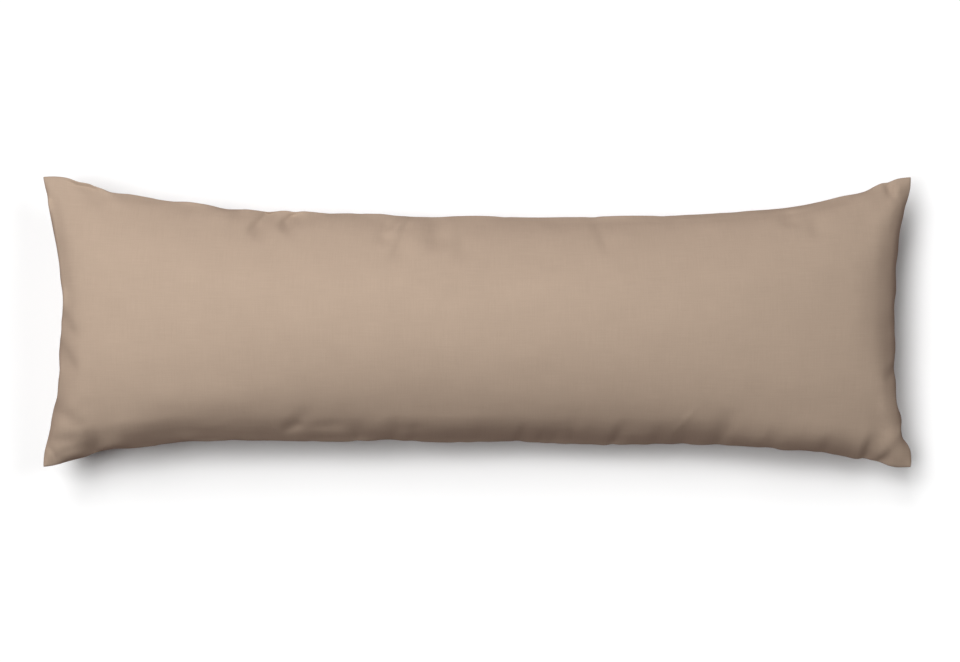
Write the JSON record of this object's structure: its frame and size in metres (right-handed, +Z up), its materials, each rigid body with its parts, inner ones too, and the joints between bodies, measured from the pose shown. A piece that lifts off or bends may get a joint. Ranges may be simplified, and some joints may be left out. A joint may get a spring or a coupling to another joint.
{
  "type": "outdoor lumbar pillow",
  "caption": "Long filled lumbar pillow in plain taupe canvas, knife edge seams, crowned faces, drawn-in sides and soft pointed corners.",
  "frame": {"origin": "middle of the pillow's footprint, at the height of the surface it lies on", "axes": "+X along the pillow, +Y across it towards the upper long seam, +Z up out of its front face"},
  "size_m": [0.903, 0.3029, 0.1443],
  "materials": {
    "taupe_canvas": "matte plain weave outdoor canvas, taupe, slightly slubbed"
  },
  "bodies": {
    "root": {"pillow": "taupe_canvas"}
  },
  "joints": []
}
